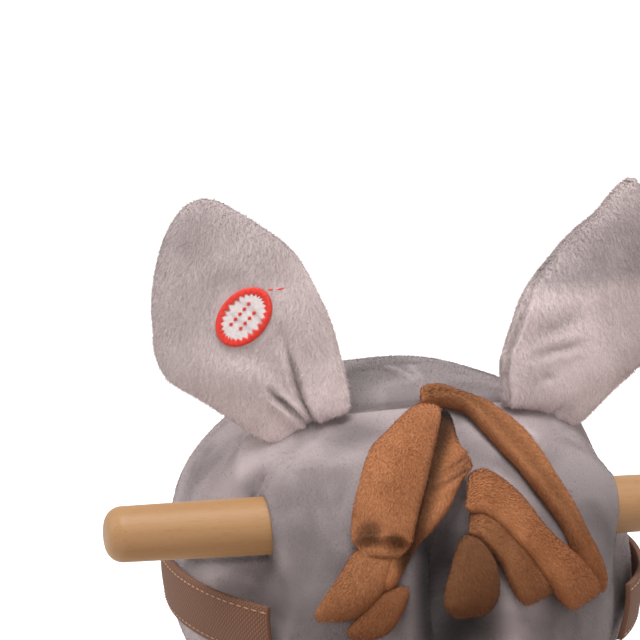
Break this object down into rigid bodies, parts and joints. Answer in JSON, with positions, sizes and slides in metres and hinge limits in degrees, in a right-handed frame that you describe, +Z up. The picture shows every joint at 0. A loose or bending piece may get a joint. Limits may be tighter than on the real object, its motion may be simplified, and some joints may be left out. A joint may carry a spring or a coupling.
{
  "type": "plush rocking animal",
  "caption": "Grey stuffed long-eared animal with a brown strip mane and a wooden handle bar through its head, on a wooden frame with two bow rockers, with a press badge in its left ear.",
  "frame": {"origin": "on the floor, in the middle of the object's footprint", "axes": "+X is forward, the way the animal looks and rocks, +Y is the animal's left, along the handle bar, +Z is up"},
  "size_m": [0.69, 0.294, 0.605],
  "materials": {
    "grey_plush": "short brushed velvet pile, pinkish grey",
    "ear_plush": "longer pinkish grey pile",
    "brown_plush": "short brown plush pile",
    "pale_plush": "short pale plush pile",
    "brown_webbing": "woven brown strap, stitched edges",
    "saddle_suede": "brushed brown suedette",
    "badge_embroidery": "satin stitched red rim round a bare white oval",
    "beech": "satin lacquer",
    "handle_wood": "satin lacquer, rubbed",
    "pine": "raw",
    "plywood": "raw",
    "steel": "zinc plated",
    "white_plastic": "moulded",
    "black_plastic": "polished",
    "circuit_board": "printed circuit board"
  },
  "bodies": {
    "animal": {"rocker_left": "beech", "rocker_right": "beech", "cross_board_front": "beech", "cross_board_rear": "beech", "footrest_bar": "beech", "stretcher_front": "beech", "stretcher_rear": "beech", "board_bolt_front_left": "steel", "board_bolt_front_right": "steel", "board_bolt_rear_left": "steel", "board_bolt_rear_right": "steel", "leg_post_front_left": "pine", "leg_post_front_right": "pine", "leg_post_rear_left": "pine", "leg_post_rear_right": "pine", "spine_board": "plywood", "neck_post": "pine", "handle_bar": "handle_wood", "handle_screw": "steel", "body": "grey_plush", "neck": "grey_plush", "head": "grey_plush", "muzzle": "pale_plush", "leg_front_left": "grey_plush", "leg_front_right": "grey_plush", "leg_rear_left": "grey_plush", "leg_rear_right": "grey_plush", "hoof_front_left": "brown_plush", "hoof_front_right": "brown_plush", "hoof_rear_left": "brown_plush", "hoof_rear_right": "brown_plush", "ear_left": "ear_plush", "ear_right": "ear_plush", "eye_left": "black_plastic", "eye_right": "black_plastic", "mane_left_1": "brown_plush", "mane_left_2": "brown_plush", "mane_left_3": "brown_plush", "mane_left_4": "brown_plush", "mane_left_5": "brown_plush", "mane_right_1": "brown_plush", "mane_right_2": "brown_plush", "mane_right_3": "brown_plush", "mane_right_4": "brown_plush", "mane_right_5": "brown_plush", "noseband": "brown_webbing", "rein_left": "brown_webbing", "rein_right": "brown_webbing", "girth": "brown_webbing", "saddle": "saddle_suede", "sound_case": "white_plastic", "sound_cover": "white_plastic", "speaker": "steel", "circuit_board": "circuit_board", "button_cell_1": "steel", "button_cell_2": "steel", "button_cell_3": "steel"},
    "sound_press": {"sound_button": "white_plastic", "press_badge": "badge_embroidery"},
    "tail_body": {"tail": "brown_plush"}
  },
  "joints": [
    {"name": "sound_button_press", "type": "slide", "parent": "animal", "child": "sound_press", "axis": [0.9092, -0.4163, 0], "range_m": [0, 0.002], "stiffness_N_per_m": 250},
    {"name": "tail_swing", "type": "hinge", "parent": "animal", "child": "tail_body", "pos_m": [-0.2761, 0, 0.285], "axis": [0, 1, 0], "range_deg": [0, 60]}
  ]
}
